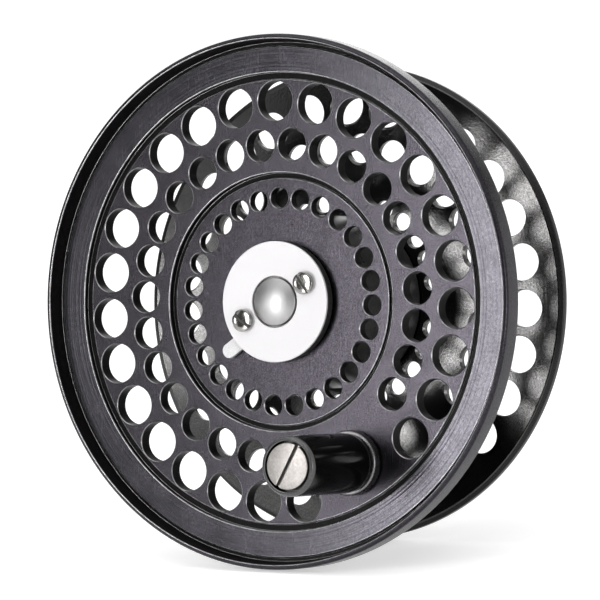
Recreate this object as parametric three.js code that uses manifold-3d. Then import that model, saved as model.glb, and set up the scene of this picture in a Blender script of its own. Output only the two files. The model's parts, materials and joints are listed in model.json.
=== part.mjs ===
// Spool of a fly reel: a perforated face with a palming rim, an arbor, a perforated back flange,
// a spindle latch under a round cover, a turning handle knob and the ratchet wheel behind.
// Millimetres. The spool is built along its own axis: z = 0 is the front surface of the
// perforated web, +z runs to the front, and angles turn from x (right) towards y (up).
// It then stands on its rim and back flange, as a spool put down on a table does.
import * as THREE from 'three';
import { mergeVertices } from 'three/addons/utils/BufferGeometryUtils.js';
import Module from 'manifold-3d';

const wasm = await Module();
wasm.setup();

// ---- Clearances ----
const seatGap = 0.3;            // between pieces that are bolted or pressed together
const runGap = 0.3;             // between pieces that turn or slide on each other
const cutMargin = 1;            // how far a cutting tool runs past the face that it cuts

// ---- Front flange ----
const rimRadius = 38;
const rimFront = 2.6;           // height of the lip over the web
const rimRear = -0.9;           // rear edge of the palming rim
const rimChamfer = 0.3;         // along the rear edge
const rimRound = 0.55;          // along the front edge
const lipWall = 0.7;            // lip thickness at its front edge
const lipFoot = 1.1;            // lip thickness at its root
const lipGroove = 0.5;          // groove between the lip and the turned band
const bandHeight = 0.5;         // turned band over the web
const bandWidth = 3.8;
const webThickness = 2.2;
const discMargin = 2.85;        // recessed disc round the latch, outside the inner hole row
const discDepth = 0.6;
const registerStep = 0.2;       // how much the rear register is smaller than the back flange

// ---- Arbor ----
const lineWidth = 16.8;         // between the flanges at the arbor
const arborRadius = 12.5;
const arborWall = 1.3;
const arborEnd = 2.6;           // end walls of the arbor

// ---- Hole pattern, on the same circles in both flanges ----
const holeCount = 27;
const handleAngle = THREE.MathUtils.degToRad(-61.4);
const holeRows = [             // offset is in pitches from the handle, gap lists holes left out
  { radius: 28.6, bore: 2.86, backBore: 2.66, sides: 8, offset: 0.5, gap: [0, 26] },
  { radius: 22.45, bore: 2.3, backBore: 2.14, sides: 8, offset: 0, gap: [26, 0, 1] },
  { radius: arborRadius + 2.3, bore: 1.47, backBore: 1.27, sides: 6, offset: 0.5, gap: [] },
];

// ---- Back flange ----
const backRadius = 34.5;
const backThickness = 0.9;
const backRoot = 1.7;           // thickness where it is bolted to the arbor
const backDish = 1.95;          // the edge lies this much further back than the root
const backLip = 0.7;            // width of the bevel along the edge
const backFlare = 0.35;         // extra thickness at the edge

// ---- Spindle bush ----
const boreRadius = 2.5;
const bushRadius = 4;
const bushFlange = 5.2;         // collar that holds the ratchet wheel
const bushProud = 1.4;          // behind the ratchet wheel

// ---- Ratchet wheel ----
const gearTeeth = 30;
const gearRadius = 10.5;
const toothDepth = 1.1;
const toothTip = 0.12;          // half widths of a tooth, in tooth pitches
const toothFoot = 0.3;
const gearThickness = 1.6;

// ---- Screws ----
const screwRadius = 0.85;
const screwHeadRadius = 1.6;
const screwHeadHeight = 0.8;
const screwSlotWidth = 0.5;
const screwSlotDepth = 0.4;
const screwGrip = 1.9;          // length of thread in the last piece
const gearScrewCircle = 7.2;
const gearScrewCount = 3;
const flangeScrewCircle = 8.2;
const flangeScrewTurn = Math.PI / gearScrewCount;
const flangeScrewSink = 1.1;    // depth of its counterbore

// ---- Latch under the round cover ----
const coverThickness = 0.35;
const housingWall = 0.9;
const housingHeight = 1;
const capRadius = 3.4;
const capPlug = 0.3;            // depth of the cap behind the cover
const capDome = 0.9;            // height of the dome over the cover
const coverScrewWall = 0.2;     // between a cover screw's hole and the bush's hole
const coverScrewAngle = THREE.MathUtils.degToRad(28.4);
const coverScrewHead = 0.6;
const coverScrewSlot = [-0.95, -0.62];  // turn of each slot
const leverThickness = 0.6;
const leverWidth = 2.1;
const leverTipCircle = 10.75;   // centre of the tongue's round tip
const leverTipAngle = THREE.MathUtils.degToRad(221);
const leverAim = THREE.MathUtils.degToRad(215);
const leverTongue = 7.5;        // straight length of the tongue
const leverSwing = THREE.MathUtils.degToRad(8);
const yokeInner = 3.3;          // window of the lever round the spindle
const yokeOuter = 4.9;
const eyeWall = 0.6;            // ring of the lever round its pivot screw
const springWire = 0.4;
const springCircle = 6.3;
const springPinRadius = 0.5;
const springPinAngle = THREE.MathUtils.degToRad(300);

// ---- Handle ----
const handleCircle = 25.7;
const handleLength = 18.3;      // front of the knob over the web
const knobEdge = 0.5;           // rounding of the knob's front edge
const knobLand = 0.2;           // flat ring round the screw head
const collarRadius = 4.6;
const collarHeight = 1.6;
const postRadius = 1.75;
const spigotRadius = 2;
const washerRadius = 3;
const washerHeight = 0.9;
const spigotProud = 0.3;
const handleScrewRadius = 3.25;
const handleScrewHeight = 1.3;
const handleScrewShank = 0.9;
const handleScrewLength = 6;
const handleSlotWidth = 0.6;
const handleSlotDepth = 0.6;
const handleSlotTurn = THREE.MathUtils.degToRad(62);

// ---- Facets ----
const rimSides = 2 * holeCount;
const roundSides = 24;
const smallSides = 8;

// ---- Places worked out from the sizes ----
const pitch = 2 * Math.PI / holeCount;
const discRadius = holeRows[2].radius + discMargin;
const webRear = -webThickness;
const backFront = webRear - lineWidth;
const rootRear = backFront - backRoot;
const gearFront = rootRear - seatGap;
const gearRear = gearFront - gearThickness;
const bushRear = gearRear - bushProud;
const bushHole = bushRadius + seatGap;
const screwHole = screwRadius + seatGap;
const discFront = -discDepth;
const latchFoot = discFront + seatGap;
const housingTop = latchFoot + housingHeight;
const coverRear = housingTop + seatGap;
const coverFront = coverRear + coverThickness;
const leverFront = latchFoot + leverThickness;
const coverScrewCircle = bushHole + coverScrewWall + screwHole;
const eyeHole = screwRadius + runGap;
const housingInner = coverScrewCircle + eyeHole + eyeWall + runGap;
const coverRadius = housingInner + housingWall;
const tongueOffset = leverTipCircle * Math.sin(leverTipAngle - leverAim);
const tongueEdge = leverAim + Math.asin((tongueOffset + leverWidth / 2) / springCircle);
const springEnd = tongueEdge + (seatGap + springWire / 2) / springCircle;
const arborFront = webRear - seatGap;
const arborRear = backFront + seatGap;
const plateRadius = arborRadius + 2 * seatGap;
const edgeFront = backFront - backDish;
const edgeRear = edgeFront - backThickness - backFlare;
const flangeScrewSeat = rootRear + flangeScrewSink;
const bandOuter = rimRadius - lipFoot - lipGroove;
const bandInner = bandOuter - bandWidth;
const collarRear = seatGap;
const collarFront = collarRear + collarHeight;
const washerFront = webRear - seatGap;
const washerRear = washerFront - washerHeight;
const knobRear = collarFront + runGap;
const knobRadius = handleScrewRadius + runGap + knobLand + knobEdge;
const headRear = handleLength - handleScrewHeight;
const postFront = headRear - seatGap;

// ---- Geometry helpers ----

/** A body turned about z, from [radius, z] points that run up its outside and down its inside. */
function turned(points, sides) {
  const profile = points.map(([radius, z]) => new THREE.Vector2(radius, z));
  if (points[0][0] > 0) {
    profile.push(profile[0].clone());
  }
  const geometry = new THREE.LatheGeometry(profile, sides, Math.PI / sides);
  return geometry.rotateX(Math.PI / 2);
}

/** A round bar along z between two heights. */
function bar(radius, low, high, sides = smallSides) {
  const geometry = new THREE.CylinderGeometry(radius, radius, high - low, sides);
  return geometry.rotateX(Math.PI / 2).translate(0, 0, (low + high) / 2);
}

/** A rectangular block between two heights, centred on z. */
function block(width, depth, low, high) {
  return new THREE.BoxGeometry(width, depth, high - low).translate(0, 0, (low + high) / 2);
}

/** A flat plate with the given outline between two heights. */
function plate(shape, low, high) {
  const options = { depth: high - low, bevelEnabled: false };
  return new THREE.ExtrudeGeometry(shape, options).translate(0, 0, low);
}

/** Moves a geometry to a radius and an angle round the spool's axis. */
function placed(geometry, radius, angle) {
  return geometry.translate(radius * Math.cos(angle), radius * Math.sin(angle), 0);
}

/** The closed solid inside a geometry, for joining and cutting. */
function solidOf(geometry) {
  const bare = geometry.clone();
  bare.deleteAttribute('normal');
  bare.deleteAttribute('uv');
  const merged = mergeVertices(bare, 1e-4);
  const corners = merged.index.array;
  const triangles = [];
  for (let i = 0; i < corners.length; i += 3) {
    const [a, b, c] = [corners[i], corners[i + 1], corners[i + 2]];
    if (a !== b && b !== c && c !== a) {
      triangles.push(a, b, c);
    }
  }
  return new wasm.Manifold(new wasm.Mesh({
    numProp: 3,
    vertProperties: new Float32Array(merged.attributes.position.array),
    triVerts: new Uint32Array(triangles),
  }));
}

/** A three.js geometry with the surface of a solid. */
function geometryOf(solid) {
  const mesh = solid.getMesh();
  const geometry = new THREE.BufferGeometry();
  geometry.setAttribute('position', new THREE.BufferAttribute(mesh.vertProperties, 3));
  geometry.setIndex(new THREE.BufferAttribute(mesh.triVerts, 1));
  geometry.computeVertexNormals();
  return geometry;
}

/** A body with tools cut out of it. */
function cut(body, tools) {
  return geometryOf(tools.reduce((rest, tool) => rest.subtract(solidOf(tool)), solidOf(body)));
}

/** Bodies joined into one. */
function joined(bodies) {
  return geometryOf(bodies.map(solidOf).reduce((sum, body) => sum.add(body)));
}

/** Drills for the whole hole pattern between two heights, with the named size of each row. */
function patternDrills(size, low, high) {
  return holeRows.flatMap((row) => {
    const drills = [];
    for (let i = 0; i < holeCount; i += 1) {
      if (!row.gap.includes(i)) {
        const angle = handleAngle + (i + row.offset) * pitch;
        drills.push(placed(bar(row[size], low, high, row.sides), row.radius, angle));
      }
    }
    return drills;
  });
}

/** Drills on a bolt circle. */
function circleDrills(radius, count, circle, start, low, high) {
  const drills = [];
  for (let i = 0; i < count; i += 1) {
    const angle = start + i * 2 * Math.PI / count;
    drills.push(placed(bar(radius, low, high), circle, angle));
  }
  return drills;
}

// ---- Materials ----
const finishes = {
  anodised: { color: 0x55525a, roughness: 0.5, metalness: 0.7 },
  darkAnodised: { color: 0x2c2b2e, roughness: 0.4, metalness: 0.7 },
  satinSteel: { color: 0xc9c7c4, roughness: 0.35, metalness: 1 },
  brightSteel: { color: 0xb5b3ae, roughness: 0.15, metalness: 1 },
  brass: { color: 0xb08a45, roughness: 0.3, metalness: 1 },
  gearSteel: { color: 0x8c8c8c, roughness: 0.4, metalness: 1 },
  blackPlastic: { color: 0x0c0c0d, roughness: 0.15, metalness: 0 },
};

const spool = new THREE.Group();

/** Adds one named sub-part to the spool. */
function add(name, geometry, finish, radius = 0, angle = 0) {
  const mesh = new THREE.Mesh(geometry, new THREE.MeshStandardMaterial(finishes[finish]));
  mesh.name = name;
  mesh.position.set(radius * Math.cos(angle), radius * Math.sin(angle), 0);
  spool.add(mesh);
  return mesh;
}

// ---- Front flange: web, recessed disc, turned band and palming rim ----
function frontFlange() {
  const body = turned([
    [bushHole, webRear],
    [backRadius - registerStep, webRear],
    [backRadius - registerStep, rimRear],
    [rimRadius - rimChamfer, rimRear],
    [rimRadius, rimRear + rimChamfer],
    [rimRadius, rimFront - rimRound],
    [rimRadius - rimRound, rimFront],
    [rimRadius - lipWall, rimFront],
    [rimRadius - lipFoot, 0],
    [bandOuter, 0],
    [bandOuter, bandHeight],
    [bandInner, bandHeight],
    [bandInner, 0],
    [discRadius, 0],
    [discRadius, discFront],
    [bushHole, discFront],
  ], rimSides);
  const low = webRear - cutMargin;
  const high = bandHeight + cutMargin;
  return cut(body, [
    ...patternDrills('bore', low, high),
    ...circleDrills(screwHole, 2, coverScrewCircle, coverScrewAngle, low, high),
    placed(bar(spigotRadius + seatGap, low, high), handleCircle, handleAngle),
    placed(bar(springPinRadius + seatGap, low, high), springCircle, springPinAngle),
  ]);
}

// ---- Arbor: a drum with two end walls round the bush ----
function arbor() {
  const body = turned([
    [bushHole, arborRear],
    [arborRadius, arborRear],
    [arborRadius, arborFront],
    [bushHole, arborFront],
    [bushHole, arborFront - arborEnd],
    [arborRadius - arborWall, arborFront - arborEnd],
    [arborRadius - arborWall, arborRear + arborEnd],
    [bushHole, arborRear + arborEnd],
  ], roundSides);
  const low = arborRear - cutMargin;
  const high = arborRear + arborEnd + cutMargin;
  const frontLow = arborFront - arborEnd - cutMargin;
  const frontHigh = arborFront + cutMargin;
  return cut(body, [
    ...circleDrills(screwHole, gearScrewCount, gearScrewCircle, 0, low, high),
    ...circleDrills(screwHole, gearScrewCount, flangeScrewCircle, flangeScrewTurn, low, high),
    ...circleDrills(screwHole, 2, coverScrewCircle, coverScrewAngle, frontLow, frontHigh),
  ]);
}

// ---- Back flange: a dished plate with a thick root and a bevelled edge ----
function backFlange() {
  const body = turned([
    [bushHole, rootRear],
    [arborRadius, rootRear],
    [plateRadius, backFront - backThickness],
    [backRadius - 2 * backLip, edgeRear + backFlare],
    [backRadius, edgeRear],
    [backRadius, edgeFront - backLip / 2],
    [backRadius - backLip, edgeFront],
    [plateRadius, backFront],
    [bushHole, backFront],
  ], rimSides);
  const low = edgeRear - cutMargin;
  const high = backFront + cutMargin;
  const screws = gearScrewCount;
  const sink = screwHeadRadius + seatGap;
  return cut(body, [
    ...patternDrills('backBore', low, high),
    ...circleDrills(screwHole, screws, gearScrewCircle, 0, low, high),
    ...circleDrills(screwHole, screws, flangeScrewCircle, flangeScrewTurn, low, high),
    ...circleDrills(sink, screws, flangeScrewCircle, flangeScrewTurn, low, flangeScrewSeat),
  ]);
}

// ---- Spindle bush: runs through the spool and turns on the frame's spindle ----
function spindleBush() {
  return turned([
    [boreRadius, bushRear],
    [bushFlange, bushRear],
    [bushFlange, gearRear - seatGap],
    [bushRadius, gearRear - seatGap],
    [bushRadius, discFront],
    [boreRadius, discFront],
  ], roundSides);
}

// ---- Ratchet wheel behind the back flange ----
function ratchetWheel() {
  const step = 2 * Math.PI / gearTeeth;
  const root = gearRadius - toothDepth;
  const tooth = [[root, -toothFoot], [gearRadius, -toothTip], [gearRadius, toothTip], [root, toothFoot]];
  const points = [];
  for (let i = 0; i < gearTeeth; i += 1) {
    for (const [radius, share] of tooth) {
      const angle = (i + share) * step;
      points.push(new THREE.Vector2(radius * Math.cos(angle), radius * Math.sin(angle)));
    }
  }
  const low = gearRear - cutMargin;
  const high = gearFront + cutMargin;
  return cut(plate(new THREE.Shape(points), gearRear, gearFront), [
    bar(bushHole, low, high, roundSides),
    ...circleDrills(screwHole, gearScrewCount, gearScrewCircle, 0, low, high),
  ]);
}

/** A slotted cheese-head screw: its head stands on the seat, towards +z or -z, its shank ends at tip. */
function slottedScrew(seat, headHeight, tip, slotTurn, towards = 1) {
  const span = (a, b) => [Math.min(a, b), Math.max(a, b)];
  const top = seat + towards * headHeight;
  const body = joined([
    bar(screwHeadRadius, ...span(seat, top)),
    bar(screwRadius, ...span(tip, seat + towards * headHeight / 4)),
  ]);
  const slot = span(top - towards * screwSlotDepth, top + towards * cutMargin);
  return cut(body, [block(4 * screwHeadRadius, screwSlotWidth, ...slot).rotateZ(slotTurn)]);
}

// ---- Latch housing: a low ring with a slot for the lever's tongue ----
function latchHousing() {
  const body = turned([
    [housingInner, latchFoot],
    [coverRadius, latchFoot],
    [coverRadius, housingTop],
    [housingInner, housingTop],
  ], roundSides);
  const slots = [0, 0.5, 1].map((share) => swung(tongue(runGap, cutMargin), share * leverSwing));
  return cut(body, slots);
}

// ---- Latch cover: thin round plate with a central hole ----
function latchCover() {
  const body = turned([
    [capRadius + seatGap, coverRear],
    [coverRadius, coverRear],
    [coverRadius, coverFront],
    [capRadius + seatGap, coverFront],
  ], roundSides);
  const low = coverRear - cutMargin;
  const high = coverFront + cutMargin;
  return cut(body, circleDrills(screwHole, 2, coverScrewCircle, coverScrewAngle, low, high));
}

// ---- Spindle cap: plug with a low dome ----
function spindleCap() {
  const bulge = (capRadius ** 2 + capDome ** 2) / (2 * capDome);
  const spread = Math.asin(capRadius / bulge);
  const points = [[0, coverRear - capPlug], [capRadius, coverRear - capPlug]];
  const steps = 6;
  for (let i = steps; i >= 0; i -= 1) {
    const angle = spread * i / steps;
    const radius = i === 0 ? 0 : bulge * Math.sin(angle);
    points.push([radius, coverFront + capDome - bulge * (1 - Math.cos(angle))]);
  }
  return turned(points, roundSides);
}

/** The straight tongue of the lever with its round tip, grown in its plane and in height. */
function tongue(grow, extra) {
  const half = leverWidth / 2 + grow;
  const low = latchFoot - extra;
  const high = leverFront + extra;
  const start = placed(bar(half, low, high), leverTipCircle, leverTipAngle);
  const strip = block(leverTongue, 2 * half, low, high).translate(-leverTongue / 2, 0, 0);
  const shaft = placed(strip.rotateZ(leverAim), leverTipCircle, leverTipAngle);
  return joined([start, shaft]);
}

/** Turns a geometry about the lever's pivot screw. */
function swung(geometry, angle) {
  const x = coverScrewCircle * Math.cos(coverScrewAngle);
  const y = coverScrewCircle * Math.sin(coverScrewAngle);
  return geometry.translate(-x, -y, 0).rotateZ(angle).translate(x, y, 0);
}

// ---- Latch lever: eye on its pivot screw, yoke round the spindle, tongue outside ----
function latchLever() {
  const low = latchFoot - cutMargin;
  const high = leverFront + cutMargin;
  const eyeRadius = eyeHole + eyeWall;
  const neck = block(coverScrewCircle - yokeInner, 2 * eyeRadius, latchFoot, leverFront);
  const neckPlace = (coverScrewCircle + yokeInner) / 2;
  const body = joined([
    placed(bar(eyeRadius, latchFoot, leverFront), coverScrewCircle, coverScrewAngle),
    placed(neck.rotateZ(coverScrewAngle), neckPlace, coverScrewAngle),
    bar(yokeOuter, latchFoot, leverFront, roundSides),
    tongue(0, 0),
  ]);
  const fixedScrew = () => placed(bar(eyeHole, low, high), -coverScrewCircle, coverScrewAngle);
  return cut(body, [
    bar(yokeInner, low, high, roundSides),
    placed(bar(eyeHole, low, high), coverScrewCircle, coverScrewAngle),
    fixedScrew(),
    swung(fixedScrew(), -leverSwing / 2),
    swung(fixedScrew(), -leverSwing),
  ]);
}

// ---- Latch spring: a bent wire between its pin and the tongue ----
function latchSpring() {
  const clear = (springPinRadius + seatGap + springWire / 2) / springCircle;
  const height = (latchFoot + leverFront) / 2;
  const start = springPinAngle - clear;
  const arc = new THREE.ArcCurve(0, 0, springCircle, start, springEnd, true);
  const points = arc.getSpacedPoints(8).map((point) => new THREE.Vector3(point.x, point.y, height));
  const section = new THREE.Shape();
  section.absarc(0, 0, springWire / 2, 0, 2 * Math.PI, false);
  const options = {
    steps: 8,
    curveSegments: 3,
    bevelEnabled: false,
    extrudePath: new THREE.CatmullRomCurve3(points),
  };
  return geometryOf(solidOf(new THREE.ExtrudeGeometry(section, options)));
}

// ---- Handle post: collar, pin with a tapped end and spigot through the web ----
function handlePost() {
  const body = turned([
    [0, washerRear - spigotProud],
    [spigotRadius, washerRear - spigotProud],
    [spigotRadius, collarRear],
    [collarRadius, collarRear],
    [collarRadius, collarFront - runGap],
    [collarRadius - runGap, collarFront],
    [postRadius, collarFront],
    [postRadius, postFront],
    [0, postFront],
  ], roundSides);
  const tapped = bar(
    handleScrewShank + seatGap,
    postFront - handleScrewLength - seatGap,
    postFront + cutMargin,
  );
  return cut(body, [tapped]);
}

// ---- Handle washer: ring behind the web, held by the riveted spigot ----
function handleWasher() {
  return turned([
    [spigotRadius + seatGap, washerRear],
    [washerRadius, washerRear],
    [washerRadius, washerFront],
    [spigotRadius + seatGap, washerFront],
  ], smallSides);
}

// ---- Handle knob: turns on the post, with a counterbore for the screw head ----
function handleKnob() {
  const bore = postRadius + runGap;
  const counterbore = handleScrewRadius + runGap;
  const round = (share) => [
    knobRadius - knobEdge * (1 - Math.cos(share * Math.PI / 2)),
    handleLength - knobEdge * (1 - Math.sin(share * Math.PI / 2)),
  ];
  return turned([
    [bore, knobRear],
    [knobRadius, knobRear],
    round(0),
    round(0.5),
    round(1),
    [counterbore, handleLength],
    [counterbore, postFront],
    [bore, postFront],
  ], roundSides);
}

// ---- Handle screw: wide flat head, flush in the knob ----
function handleScrew() {
  const body = turned([
    [0, postFront - handleScrewLength],
    [handleScrewShank, postFront - handleScrewLength],
    [handleScrewShank, headRear],
    [handleScrewRadius, headRear],
    [handleScrewRadius, handleLength],
    [0, handleLength],
  ], roundSides);
  const floor = handleLength - handleSlotDepth;
  const blade = block(4 * handleScrewRadius, handleSlotWidth, floor, handleLength + cutMargin);
  return cut(body, [blade.rotateZ(handleSlotTurn)]);
}

// ---- Assembly ----
add('front_flange', frontFlange(), 'anodised');
add('arbor', arbor(), 'darkAnodised');
add('back_flange', backFlange(), 'darkAnodised');
add('spindle_bush', spindleBush(), 'brass');
add('ratchet_wheel', ratchetWheel(), 'gearSteel');

for (let i = 0; i < gearScrewCount; i += 1) {
  const angle = i * 2 * Math.PI / gearScrewCount;
  const seat = gearRear - seatGap;
  const screw = slottedScrew(seat, screwHeadHeight, arborRear + screwGrip, i, -1);
  add(`ratchet_screw_${i + 1}`, screw, 'satinSteel', gearScrewCircle, angle);
}

for (let i = 0; i < gearScrewCount; i += 1) {
  const angle = flangeScrewTurn + i * 2 * Math.PI / gearScrewCount;
  const seat = flangeScrewSeat - seatGap;
  const screw = slottedScrew(seat, screwHeadHeight, arborRear + screwGrip, 2 * i, -1);
  add(`flange_screw_${i + 1}`, screw, 'satinSteel', flangeScrewCircle, angle);
}

add('latch_housing', latchHousing(), 'darkAnodised');
add('latch_lever', latchLever(), 'satinSteel');
add('latch_spring', latchSpring(), 'brightSteel');
add('latch_spring_pin', bar(springPinRadius, webRear, leverFront, 8), 'brightSteel',
  springCircle, springPinAngle);
add('latch_cover', latchCover(), 'satinSteel');
add('spindle_cap', spindleCap(), 'satinSteel');

for (let i = 0; i < 2; i += 1) {
  const seat = coverFront + seatGap;
  const screw = slottedScrew(seat, coverScrewHead, arborFront - screwGrip, coverScrewSlot[i]);
  add(`cover_screw_${i + 1}`, screw, 'brightSteel', coverScrewCircle, coverScrewAngle + i * Math.PI);
}

add('handle_post', handlePost(), 'darkAnodised', handleCircle, handleAngle);
add('handle_washer', handleWasher(), 'satinSteel', handleCircle, handleAngle);
add('handle_knob', handleKnob(), 'blackPlastic', handleCircle, handleAngle);
add('handle_screw', handleScrew(), 'satinSteel', handleCircle, handleAngle);

// ---- Stand the spool on its rim and its back flange, with the face to the front ----
const drop = (rimRadius - backRadius) * Math.cos(Math.PI / rimSides);
const lean = Math.atan2(drop, rimRear + rimChamfer - edgeRear);
spool.rotation.x = Math.PI / 2 - lean;
spool.updateMatrixWorld(true);
const box = new THREE.Box3().setFromObject(spool, true);
const centre = box.getCenter(new THREE.Vector3());
spool.position.set(-centre.x, -centre.y, -box.min.z);

const reelSpool = new THREE.Group();
reelSpool.add(spool);

export default reelSpool;
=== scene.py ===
# %% [markdown]
# # The spool of a fly reel
#
# A fly reel's spool is turned from bar aluminium: a perforated face with a palming rim, a drum
# that holds the line, and a perforated back flange. A small latch under a round plate holds it
# on the reel's spindle, and a black knob turns it.
#
# Nearly every piece is made on a lathe, so nearly every piece here is a section that is spun.
# The imported CAD model is the fixed frame. Each node gets a finer stand-in with rounded edges,
# and each stand-in but the latch spring rides on the body of the node that it replaces.

# %% Load the frame
import json
import math

import bmesh
import bpy
from mathutils import Matrix, Vector

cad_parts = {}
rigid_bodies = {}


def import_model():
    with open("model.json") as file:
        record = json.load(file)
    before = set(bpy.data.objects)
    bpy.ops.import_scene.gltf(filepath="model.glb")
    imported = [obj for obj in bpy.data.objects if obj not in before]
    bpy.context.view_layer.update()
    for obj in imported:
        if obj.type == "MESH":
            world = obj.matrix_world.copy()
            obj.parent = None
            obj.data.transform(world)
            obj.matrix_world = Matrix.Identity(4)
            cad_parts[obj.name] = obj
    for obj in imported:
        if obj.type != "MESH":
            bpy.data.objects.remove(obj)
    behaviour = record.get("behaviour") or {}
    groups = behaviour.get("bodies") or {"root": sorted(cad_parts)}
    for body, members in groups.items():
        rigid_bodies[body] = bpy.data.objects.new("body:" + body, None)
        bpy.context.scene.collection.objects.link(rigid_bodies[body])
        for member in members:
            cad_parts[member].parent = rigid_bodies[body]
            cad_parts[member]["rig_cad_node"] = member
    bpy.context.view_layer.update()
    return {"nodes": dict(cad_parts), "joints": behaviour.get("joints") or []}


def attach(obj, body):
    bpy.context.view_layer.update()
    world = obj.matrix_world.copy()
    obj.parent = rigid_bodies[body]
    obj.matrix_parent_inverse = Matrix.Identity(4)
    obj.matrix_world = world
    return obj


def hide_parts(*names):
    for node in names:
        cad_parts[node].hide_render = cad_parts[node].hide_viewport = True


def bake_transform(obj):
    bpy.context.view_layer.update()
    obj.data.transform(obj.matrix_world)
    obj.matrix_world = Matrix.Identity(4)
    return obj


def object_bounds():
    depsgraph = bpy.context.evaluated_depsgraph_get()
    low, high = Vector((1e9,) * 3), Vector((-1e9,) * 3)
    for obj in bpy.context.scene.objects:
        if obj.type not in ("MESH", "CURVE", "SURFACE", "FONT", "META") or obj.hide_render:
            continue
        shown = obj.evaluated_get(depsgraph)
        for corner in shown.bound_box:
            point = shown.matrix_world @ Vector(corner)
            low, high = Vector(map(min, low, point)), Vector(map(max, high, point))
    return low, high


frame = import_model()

nodes = frame["nodes"]
scene = bpy.context.scene

# %% [markdown]
# ## The spool's own axes
#
# The spool leans back a little as it stands on its rim and its back flange. Sizes are easiest to
# give along its own axis, in millimetres, with z = 0 on the front of the perforated web. The
# knob's joint gives the axis, the bush gives its place, and the lip gives the height. One matrix
# then takes a finished section from there to metres in the frame.

# %% From spool millimetres to the frame
MM = 0.001
LIP_HEIGHT = 2.6

knob_joint = next(joint for joint in frame["joints"] if joint["name"] == "knob_spin")
axis = Vector(knob_joint.get("axis")).normalized()
right = Vector((1, 0, 0))
upward = axis.cross(right)


def reach(node, direction):
    """Lowest and highest place of a CAD node along a direction."""
    places = [vertex.co.dot(direction) for vertex in nodes[node].data.vertices]
    return min(places), max(places)


middle = sum((side * sum(reach("spindle_bush", side)) / 2 for side in (right, upward)), Vector())
web_front = reach("front_flange", axis)[1] - LIP_HEIGHT * MM
turn = Matrix((right, upward, axis)).transposed().to_4x4()
SPOOL = Matrix.Translation(middle + axis * web_front) @ turn @ Matrix.Scale(MM, 4)
print("spool leans", round(math.degrees(math.asin(axis.z)), 2), "degrees")

# %% [markdown]
# ## The camera
#
# A long lens from the right and a little above, tilted so that the spool's own up is the
# picture's up. The camera comes first, since it says what will be seen.

# %% Camera
CAMERA_AZIMUTH = math.radians(30.81)
CAMERA_ELEVATION = math.radians(8.04)
CAMERA_ROLL = math.radians(-4.28)
CAMERA_DISTANCE = 667.9
CAMERA_TARGET = Vector((2.54, -1.06, 37.57))
CAMERA_LENS = 282.1


def direction(azimuth, elevation):
    """A unit vector to a compass place round the object: azimuth 0 is the front, 90 the right."""
    level = math.cos(elevation)
    return Vector((level * math.sin(azimuth), -level * math.cos(azimuth), math.sin(elevation)))


def facing(place, target, roll=0.0):
    """The matrix of a camera or lamp that stands at a place and looks at a target."""
    look = (target - place).to_track_quat("-Z", "Y").to_matrix().to_4x4()
    return Matrix.Translation(place) @ look @ Matrix.Rotation(roll, 4, "Z")


camera = bpy.data.objects.new("camera", bpy.data.cameras.new("camera"))
camera.data.lens = CAMERA_LENS
camera.data.sensor_width = 36
camera.data.clip_start = 0.05
camera.data.clip_end = 20
camera_place = CAMERA_TARGET + CAMERA_DISTANCE * direction(CAMERA_AZIMUTH, CAMERA_ELEVATION)
camera.matrix_world = facing(camera_place * MM, CAMERA_TARGET * MM, CAMERA_ROLL)
scene.collection.objects.link(camera)
scene.camera = camera
print("camera stands", round(CAMERA_DISTANCE), "mm away with a", CAMERA_LENS, "mm lens")

# %% [markdown]
# ## Turned bodies
#
# A lathe part is a section carried round an axis. The section starts as one flat face through
# its corners. Bevelling a corner of that face rounds it, as a deburring tool does, and costs no
# extra points in the list. The face is then dropped, its outline kept, and the outline is spun.

# %% Spin a section
FINE = 192
ROUND = 96
SMALL = 48
MERGE = 1e-5


def turned(points, steps=ROUND):
    """A body turned about z from (radius, height, rounding) corners that run round its section."""
    bm = bmesh.new()
    corners = [bm.verts.new((radius, 0, height)) for radius, height, _ in points]
    bm.faces.new(corners)
    for size in sorted({rounding for _, _, rounding in points if rounding}):
        soft = [corner for corner, point in zip(corners, points) if point[2] == size]
        bmesh.ops.bevel(bm, geom=soft, affect="VERTICES", offset=size, offset_type="OFFSET",
                        segments=3, profile=0.5, material=-1)
    bmesh.ops.delete(bm, geom=bm.faces[:], context="FACES_ONLY")
    on_axis = [edge for edge in bm.edges if all(abs(vertex.co.x) < MERGE for vertex in edge.verts)]
    bmesh.ops.delete(bm, geom=on_axis, context="EDGES")
    bmesh.ops.spin(bm, geom=bm.verts[:] + bm.edges[:], cent=(0, 0, 0), axis=(0, 0, 1),
                   angle=2 * math.pi, steps=steps, use_merge=True)
    bmesh.ops.remove_doubles(bm, verts=bm.verts, dist=MERGE)
    bmesh.ops.recalc_face_normals(bm, faces=bm.faces)
    return bm


def bar(radius, low, high, steps=SMALL):
    """A plain round bar along z between two heights."""
    return turned([(0, low, 0), (radius, low, 0), (radius, high, 0), (0, high, 0)], steps)


def block(width, depth, low, high):
    """A rectangular block between two heights, centred on z."""
    bm = bmesh.new()
    size = Matrix.Diagonal((width, depth, high - low, 1))
    bmesh.ops.create_cube(bm, size=1, matrix=Matrix.Translation((0, 0, (low + high) / 2)) @ size)
    return bm


def at(radius, angle, spin=0.0):
    """The matrix that takes a body to a radius and an angle round the spool's axis."""
    place = Vector((radius * math.cos(angle), radius * math.sin(angle), 0))
    return Matrix.Translation(place) @ Matrix.Rotation(spin, 4, "Z")


def moved(bm, matrix):
    """The same body after a move."""
    bm.transform(matrix)
    return bm


print("a turned pin has", len(bar(1, 0, 1).faces), "faces")

# %% [markdown]
# ## Drilling and milling
#
# Holes and slots are real cuts, so that light falls through them and their walls have a
# thickness. All drills of a piece become one cutter, and a Boolean modifier takes it away in
# one go. The same modifier joins bodies that were made apart.

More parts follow.
